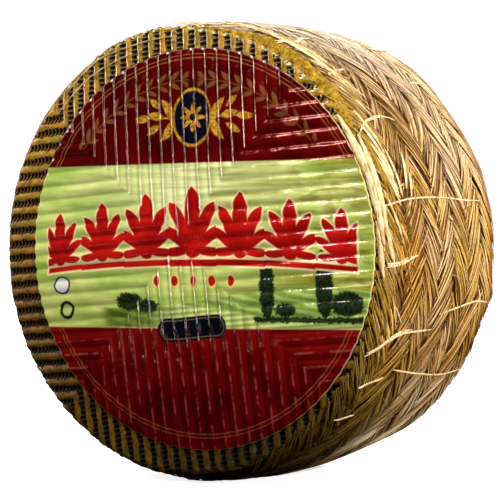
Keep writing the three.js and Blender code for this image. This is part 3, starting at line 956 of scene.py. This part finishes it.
# Broad pale blades bind the front edge, and fine straws lie along the rim. They follow the edge of
# the cheese from its face over onto the belt: radius and depth, and the way up to there in mm.
rim = [
    (85.5, -1.8), (90.0, -1.3), (94.4, -0.4), (95.9, 0.3), (97.4, 0.9), (98.8, 2.0),
    (99.8, 3.4), (100.6, 5.0), (101.3, 8.0), (102.0, 12.0), (102.6, 18.0), (103.1, 26.0),
]
rim_steps = [-9.1]
for (r1, d1), (r2, d2) in zip(rim, rim[1:]):
    rim_steps.append(rim_steps[-1] + math.hypot(r2 - r1, d2 - d1))


def over_rim(angle, along, lift):
    """A point in mm at an angle and a distance from the face's edge over the rim and onto the belt."""
    at = max(k for k in range(len(rim) - 1) if rim_steps[k] <= max(along, rim_steps[0]))
    share = (along - rim_steps[at]) / (rim_steps[at + 1] - rim_steps[at])
    (r1, d1), (r2, d2) = rim[at], rim[at + 1]
    length = math.hypot(r2 - r1, d2 - d1)
    out_r = (d2 - d1) / length
    out_d = -(r2 - r1) / length
    reach = r1 + (r2 - r1) * share + out_r * lift
    depth = d1 + (d2 - d1) * share + out_d * lift
    turn = math.radians(angle)
    z = max(axis_height + reach * math.sin(turn), 0.4)
    return [reach * math.cos(turn), front_rim + depth, z]


def add_blade(vertices, faces, route, across=8, thickness=0.5):
    """A thin cupped blade through places of angle, distance over the rim, half width and lift."""
    stations = 4 * (len(route) - 1)
    start = len(vertices)
    for step in range(stations + 1):
        spot = min(step / 4, len(route) - 1.0001)
        at = int(spot)
        part = spot - at
        part = part * part * (3 - 2 * part)
        angle, along, half, lift = [a + (b - a) * part for a, b in zip(route[at], route[at + 1])]
        for side in (1, -1):
            for k in range(across):
                w = (2 * k / across - 1) * side
                cup = 0.35 * (1 - w * w) * min(half, 2.5)
                skin = thickness / 2 * side * (1 - w ** 4)
                vertices.append(over_rim(angle, along + half * w, lift + cup * 0.5 + skin))
    ring = 2 * across
    for step in range(stations):
        for k in range(ring):
            a = start + step * ring + k
            b = start + step * ring + (k + 1) % ring
            faces.append((a, a + ring, b + ring, b))
    faces.append(tuple(start + k for k in range(ring)))
    faces.append(tuple(start + stations * ring + k for k in reversed(range(ring))))


# Each blade has its tone, from golden brown to pale, and its places: an angle, how far over the
# rim, half its width there and its lift. The angles go down, which turns its faces outwards.
blades = [
    (0.9, [(37, 1.4, 0.5, 0.3), (32, 1.4, 1.2, 0.5), (26, 1.8, 1.8, 0.6), (19, 2.4, 1.5, 0.6),
           (13, 2.8, 1.7, 0.6), (6, 3.6, 1.0, 0.5), (0, 4.4, 0.3, 0.3)]),
    (1.0, [(30, 4.6, 0.3, 0.5), (25, 4.4, 1.1, 0.9), (17, 4.6, 1.3, 0.9), (10, 5.2, 1.0, 0.8),
           (4, 6.0, 0.3, 0.4)]),
    (0.6, [(8, 1.6, 0.4, 0.3), (3, 2.2, 1.0, 0.5), (-2, 3.2, 1.1, 0.6), (-7, 4.6, 0.3, 0.4)]),
    (0.6, [(9, 4.6, 0.3, 0.3), (5, 5.8, 0.9, 0.6), (0, 7.6, 1.0, 0.6), (-5, 9.6, 0.3, 0.4)]),
    (0.85, [(36, 8.4, 0.3, 0.5), (32, 10.0, 0.7, 0.9), (28, 12.0, 0.8, 1.0), (24, 13.8, 0.3, 0.6)]),
    (1.0, [(32, 7.8, 0.3, 0.5), (27, 9.9, 0.8, 1.0), (22, 12.5, 0.9, 1.0), (18, 14.6, 0.4, 0.6)]),
    (0.9, [(27, 7.9, 0.3, 0.5), (23, 9.8, 0.8, 1.0), (18, 12.7, 1.0, 1.0), (14, 15.0, 0.4, 0.6)]),
    (1.0, [(23, 8.4, 0.3, 0.5), (19, 10.3, 0.8, 0.9), (15, 12.7, 0.8, 1.0), (11, 15.2, 0.3, 0.6)]),
    (0.95, [(25, 15.2, 0.3, 0.5), (21, 16.2, 0.6, 0.8), (17, 17.0, 0.7, 0.8), (13, 17.6, 0.3, 0.6)]),
    (0.05, [(33, 6.2, 0.3, 0.3), (27, 6.8, 0.9, 0.5), (20, 7.8, 1.0, 0.5), (12, 9.6, 0.3, 0.4)]),
    (0.1, [(24, 8.6, 0.3, 0.3), (18, 10.0, 0.9, 0.5), (12, 12.0, 0.8, 0.5), (7, 14.0, 0.3, 0.4)]),
    (1.0, [(132, -1.5, 0.1, 0.2), (128, -0.9, 0.2, 0.5), (118, 0.6, 0.2, 0.6), (108, -1.2, 0.2, 0.5),
           (101, -1.4, 0.2, 0.4), (92, -1.6, 0.1, 0.2)]),
    (1.0, [(138, -4.8, 0.1, 0.2), (130, -4.6, 0.2, 0.4), (122, -4.1, 0.2, 0.5), (114, -4.6, 0.2, 0.4),
           (107, -4.4, 0.1, 0.2)]),
    (0.7, [(15, 7.0, 0.3, 0.4), (10, 9.6, 0.7, 0.6), (6, 12.2, 0.7, 0.7), (2, 14.8, 0.3, 0.4)]),
    (0.95, [(24, 26.6, 0.3, 0.5), (21, 25.0, 0.9, 0.9), (18, 23.4, 1.0, 0.9), (15, 21.8, 0.3, 0.5)]),
    (0.8, [(19, 27.4, 0.3, 0.5), (16, 26.0, 0.9, 0.8), (13, 24.6, 0.3, 0.5)]),
    (0.8, [(66, 9.0, 0.4, 0.4), (58, 10.6, 1.0, 0.6), (50, 13.2, 1.0, 0.7), (44, 15.0, 0.3, 0.5)]),
    (0.95, [(79, 7.4, 0.4, 0.4), (70, 8.6, 1.2, 0.6), (61, 10.4, 1.0, 0.6), (55, 12.0, 0.3, 0.4)]),
]

# Straws of the first plait run out over the rim: how many, from and to which angle, where they
# start over the rim, and how dark and how pale they are
chance = random.Random(3)
run_out = [
    (120, -70, 2, 0.0, 3.5, 0.0, 0.4),
    (44, 0, 38, 1.5, 6.0, 0.0, 0.5),
    (42, 38, 82, 8.5, 12.0, 0.2, 0.75),
]
for count, first, last, near, far, dark, pale in run_out:
    for number in range(count):
        angle = first + (last - first) * (number + chance.uniform(0, 1)) / count
        start = chance.uniform(near, far)
        across = chance.uniform(7, 12)
        turn = across / math.tan(math.radians(chance.uniform(20, 36))) / 1.8
        half = chance.uniform(0.35, 0.6) if angle > -20 else chance.uniform(0.2, 0.45)
        lift = chance.uniform(0.1, 0.6) - drawn_in(angle + turn / 2, start) * 1.9
        blades.append((chance.uniform(dark, pale), [
            (angle + turn / 2, start, 0.2, lift - 0.2),
            (angle + turn / 6, start + across * 0.3, half, lift),
            (angle - turn / 6, start + across * 0.65, half, lift),
            (angle - turn / 2, start + across, 0.15, lift - 0.1),
        ]))
vertices = []
faces = []
tones = []
on_edge = []
for tone, route in blades:
    across = 8 if len(route) > 4 else 4
    add_blade(vertices, faces, route, across)
    added = len(vertices) - len(tones)
    tones += [tone] * added
    on_edge += [k % across == 0 for k in range(added)]
edge_blades = new_piece("edge_blades", vertices, faces)
for edge in edge_blades.data.edges:
    edge.use_edge_sharp = all(on_edge[k] for k in edge.vertices)
edge_blades.data.attributes.new("blade_tone", "FLOAT", "POINT").data.foreach_set("value", tones)

pale_blade, tree, shader, place = new_finish("pale_blade")
x, y, z = place
up = z - axis_height
around = up.put("ARCTAN2", x) * 100
reach = ((x * x) + up * up).put("SQRT")
tone = Field(tree, read(tree, "blade_tone"))
veins = mottle(tree, (around, reach, y), (14, 0.4, 0.4), 3.0, 0.3, 0.7)
stain = mottle(tree, (around, reach, y), (5, 1.2, 1.2), 3.0, 0.48, 0.62)
golden = blend(tree, veins, "#5e4206", "#a87c20")
pale = blend(tree, veins, "#dcb67c", "#f6e0b2")
colour = blend(tree, tone.ease(0.1, 0.9), golden, pale)
colour = blend(tree, stain * 0.7, colour, "#a07828")
# Painted shade: darker lower down
colour = tint(tree, z.ease(15, 95, 1.0, 0.0), colour, "#74642a")
tree.links.new(colour, shader.inputs["Base Color"])
shader.inputs["Roughness"].default_value = 0.55
shader.inputs["Specular IOR Level"].default_value = 0.1
raise_bump(tree, shader, veins, 0.15, 0.5)
edge_blades.data.materials.append(pale_blade)
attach(edge_blades, "root")
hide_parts("esparto_belt")


# The ties
# Pale straws and threads that hold the plaits together. They lie across the belt, some whole
# and some doubled, split or broken off short.

straw_tie, tree, shader, place = new_finish("pale_tie_straw")
fibre = mottle(tree, place, (0.5, 5, 0.5), 3.0, 0.3, 0.7)
colour = blend(tree, fibre, "#cfa970", "#efd8ae")
tree.links.new(colour, shader.inputs["Base Color"])
shader.inputs["Roughness"].default_value = 0.55
shader.inputs["Specular IOR Level"].default_value = 0.2
raise_bump(tree, shader, fibre, 0.15)

wheel_roll = 4.4


def sweep(points, radii, flat=0.6, sides=6):
    """A closed straw along points, each with its radius, flattened against the wheel."""
    vertices = []
    faces = []
    for at, (point, radius) in enumerate(zip(points, radii)):
        ahead = points[min(at + 1, len(points) - 1)] - points[max(at - 1, 0)]
        out = Vector((point.x, 0, point.z - axis_height)).normalized()
        side = ahead.cross(out).normalized()
        lift = side.cross(ahead).normalized()
        for corner in range(sides):
            turn = 2 * math.pi * corner / sides
            around = side * math.cos(turn) + lift * (math.sin(turn) * flat)
            vertices.append(point + around * radius)
    for at in range(len(points) - 1):
        for corner in range(sides):
            a = at * sides + corner
            b = at * sides + (corner + 1) % sides
            faces.append((a, a + sides, b + sides, b))
    faces.append(tuple(range(sides)))
    faces.append(tuple(reversed(range(len(vertices) - sides, len(vertices)))))
    return vertices, faces


def route_point(route, share):
    """A place on a smooth line through the route's points of angle and depth."""
    spot = share * (len(route) - 1)
    at = min(int(spot), len(route) - 2)
    part = spot - at
    around = [route[min(max(at + k, 0), len(route) - 1)] for k in (-1, 0, 1, 2)]
    result = []
    for axis in (0, 1):
        a, b, c, d = [point[axis] for point in around]
        bend = (2 * a - 5 * b + 4 * c - d) * part + (3 * b - a - 3 * c + d) * part * part
        result.append(b + 0.5 * ((c - a) + bend) * part)
    return result


def on_belt(angle, depth, height):
    """A point in mm at an angle of the rolled wheel, a depth and a height above the belt."""
    turn = math.radians(angle + wheel_roll)
    edge = max(0.0, 1 - (depth - belt_front) / edge_roll)
    reach = belt_radius(max(depth, belt_front)) - 2.0 * edge * edge + height
    reach -= drawn_in(angle + wheel_roll, depth)
    z = axis_height + reach * math.sin(turn)
    return Vector((reach * math.cos(turn), front_rim + depth, max(z, 0.4)))


def make_tie(name, width, thickness, route, strands):
    """One tie of one or more strands that part a little at its ends."""
    vertices = []
    faces = []
    steps = max(10, int(abs(route[-1][1] - route[0][1]) / 2))
    chance = random.Random(name)
    for strand in range(strands):
        side = (strand - (strands - 1) / 2) / max(strands, 1)
        phase = chance.uniform(0, 6)
        start = chance.uniform(0.0, 0.08) if strand else 0.0
        end = chance.uniform(0.55, 0.7) if strand and strands == 3 else chance.uniform(0.85, 1.0)
        points = []
        radii = []
        for step in range(steps + 1):
            share = start + (end - start) * step / steps
            angle, depth = route_point(route, share)
            spread = side * width * (0.7 + 0.8 * abs(2 * share - 1) ** 3)
            wave = 0.25 * math.sin(9 * share + phase)
            angle += math.degrees((spread + wave * 0.6) / belt_reach)
            rise = 0.35 + thickness * (0.5 + 0.25 * math.sin(7 * share + phase * 2))
            points.append(on_belt(angle, depth, rise + max(0.0, 1.6 - depth / 6)))
            fade = min(1.0, 0.35 + 6 * min(share - start, end - share))
            radii.append(width / (1.2 + strands) * fade)
        more, sides = sweep(points, radii)
        faces += [tuple(corner + len(vertices) for corner in face) for face in sides]
        vertices += more
    tie = new_piece(name + "_straw", vertices, faces)
    tie.data.materials.append(straw_tie)
    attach(tie, "root")
    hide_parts(name)


# Each tie has a width, a thickness, its course over the belt in degrees and depth, and its strands
ties = {
    "tie_top_front": (1.8, 0.8, [(58.5, 1), (57, 12), (58.5, 22), (58, 28)], 3),
    "tie_top_back": (1.4, 0.7, [(55.5, 72), (56.5, 84), (57.5, 97)], 2),
    "tie_upper_front": (1.2, 0.6, [(43, 6), (44.2, 14), (44.8, 23)], 2),
    "tie_upper_back": (1.1, 0.6, [(41, 71), (41.8, 84), (42.2, 96)], 1),
    "tie_bowed": (1.2, 0.8, [(25.5, 1), (28.2, 8), (29.5, 20), (29.2, 26), (28.3, 31)], 2),
    "tie_long": (1.0, 0.6, [(6.8, 0.5), (8.2, 18), (8.4, 38), (8.2, 55), (7.8, 70), (7.7, 98)], 1),
    "tie_folded": (2.0, 0.9, [(-7.4, 1), (-6.8, 10), (-5.5, 18), (-4.6, 23)], 3),
    "tie_stray": (0.8, 0.5, [(-16.5, 8), (-19, 13), (-22, 18)], 1),
    "tie_forked": (2.1, 0.9, [(-29.8, 0.5), (-26.5, 8), (-23.8, 19), (-23.3, 32), (-22.8, 46)], 3),
    "tie_lower_back": (1.1, 0.6, [(-19.6, 48), (-18.4, 66), (-17.2, 82), (-18.4, 99.4)], 1),
    "tie_lower_long": (1.1, 0.6, [(-33.5, 24), (-35, 42), (-36.2, 62), (-37, 80), (-37, 98)], 1),
    "tie_lower_front": (1.4, 0.7, [(-38.5, 5), (-37, 12), (-35.4, 20)], 1),
    "tie_low_stub": (1.0, 0.5, [(-49, 5), (-48, 11), (-47.2, 18)], 1),
}

# The same kinds of tie on the side that the view doesn't reach
for index in range(7):
    angle = 92 + 24 * index
    lean = 1.2 * math.sin(2.3 * index)
    start = 8 if index % 2 == 0 else 22
    end = 74 if index % 3 == 1 else 98
    route = [(angle, start), (angle + lean, (start + end) / 2), (angle - lean / 2, end)]
    ties[f"tie_round_{index + 1}"] = (1.1, 0.6, route, 1 + index % 2)
for name, (width, thickness, route, strands) in ties.items():
    make_tie(name, width, thickness, route, strands)


# The table, the light and the camera
# A white table top in a bright room, a large soft lamp above and to the right, and a view from
# the right of the labelled face at the height of the wheel's middle.

white, tree, shader, place = new_finish("white_table")
feed(tree, blend(tree, mottle(tree, place, 40), "#e8e8e8", "#f0f0f0"), shader.inputs["Base Color"])
shader.inputs["Roughness"].default_value = 0.9
shader.inputs["Specular IOR Level"].default_value = 0.0
shader.inputs["Emission Strength"].default_value = 0.8
corners = [(-6000, -6000, 0), (6000, -6000, 0), (6000, 6000, 0), (-6000, 6000, 0)]
floor = new_piece("table_top", corners, [(0, 1, 2, 3)])
floor.data.materials.append(white)
floor.visible_diffuse = False
floor.visible_glossy = False

room = bpy.data.worlds.new("room")
room.use_nodes = True
bpy.context.scene.world = room
tree = room.node_tree
tree.nodes.clear()
light_path = tree.nodes.new("ShaderNodeLightPath")
seen = Field(tree, light_path.outputs["Is Camera Ray"])
mirrored = Field(tree, light_path.outputs["Is Glossy Ray"])
way = tree.nodes.new("ShaderNodeTexCoord").outputs["Generated"]
glow = split(tree, way)[2].ease(-0.3, 0.9, 0.05, 0.55)
strength = (glow * (1 - mirrored * 0.88)).most(seen * 1.05)
sky = add_node(tree, "ShaderNodeBackground", {0: [1.0, 1.0, 1.0, 1.0], 1: strength})
add_node(tree, "ShaderNodeOutputWorld", {0: sky.outputs[0]})


def add_lamp(name, turn, rise, distance, width, height, power, tint=(1.0, 1.0, 1.0)):
    """A flat soft lamp that faces the wheel, placed by its angles from straight in front."""
    lamp = bpy.data.lights.new(name, "AREA")
    lamp.shape = "RECTANGLE"
    lamp.size = width
    lamp.size_y = height
    lamp.energy = power
    lamp.color = tint
    turn = math.radians(turn)
    rise = math.radians(rise)
    level = distance * math.cos(rise)
    offset = Vector((level * math.sin(turn), -level * math.cos(turn), distance * math.sin(rise)))
    holder = bpy.data.objects.new(name, lamp)
    holder.location = Vector((0.0, 0.0, 0.1)) + offset
    holder.rotation_euler = (-offset).to_track_quat("-Z", "Y").to_euler()
    bpy.context.scene.collection.objects.link(holder)


add_lamp("lamp_above", 60, 60, 1.3, 0.5, 0.5, 10.6)
add_lamp("lamp_right", 80, 4, 1.3, 0.5, 0.16, 21)
add_lamp("lamp_left", -70, 12, 1.2, 0.09, 0.9, 8.0, (1.0, 0.84, 0.72))
add_lamp("lamp_front", -26, 37, 1.3, 0.16, 0.10, 2.6, (1.0, 0.9, 0.88))
add_lamp("lamp_fill", 8, 30, 1.6, 0.9, 0.5, 5)
add_lamp("lamp_behind", 205, 22, 1.8, 0.8, 0.8, 28)

# A narrow lamp low on the table in front on the left throws a little light up from below, as a white
# card would
card = bpy.data.lights.new("card_low", "AREA")
card.shape = "RECTANGLE"
card.size = 0.05
card.size_y = 0.24
card.energy = 0.14
card.color = (1.0, 0.86, 0.82)
holder = bpy.data.objects.new("card_low", card)
holder.location = (-0.30, -0.36, 0.004)
holder.rotation_euler = (math.pi, 0.0, math.radians(42))
bpy.context.scene.collection.objects.link(holder)

# The camera's place and the way it faces, in metres, from the fit to the outline and the label
camera = bpy.data.cameras.new("camera")
camera.lens = 174.06
camera.sensor_width = 36.0
camera.clip_start = 0.05
camera.clip_end = 50.0
holder = bpy.data.objects.new("camera", camera)
right = Vector((0.849075, 0.528273, 0.0))
up = Vector((-0.012849, 0.020652, 0.999704))
back = Vector((0.528117, -0.848824, 0.024323))
turned = Matrix((right, up, back)).transposed().to_4x4()
holder.matrix_world = Matrix.Translation((0.57930, -0.92728, 0.12792)) @ turned
bpy.context.scene.collection.objects.link(holder)
bpy.context.scene.camera = holder
bpy.context.scene.view_settings.view_transform = "Standard"
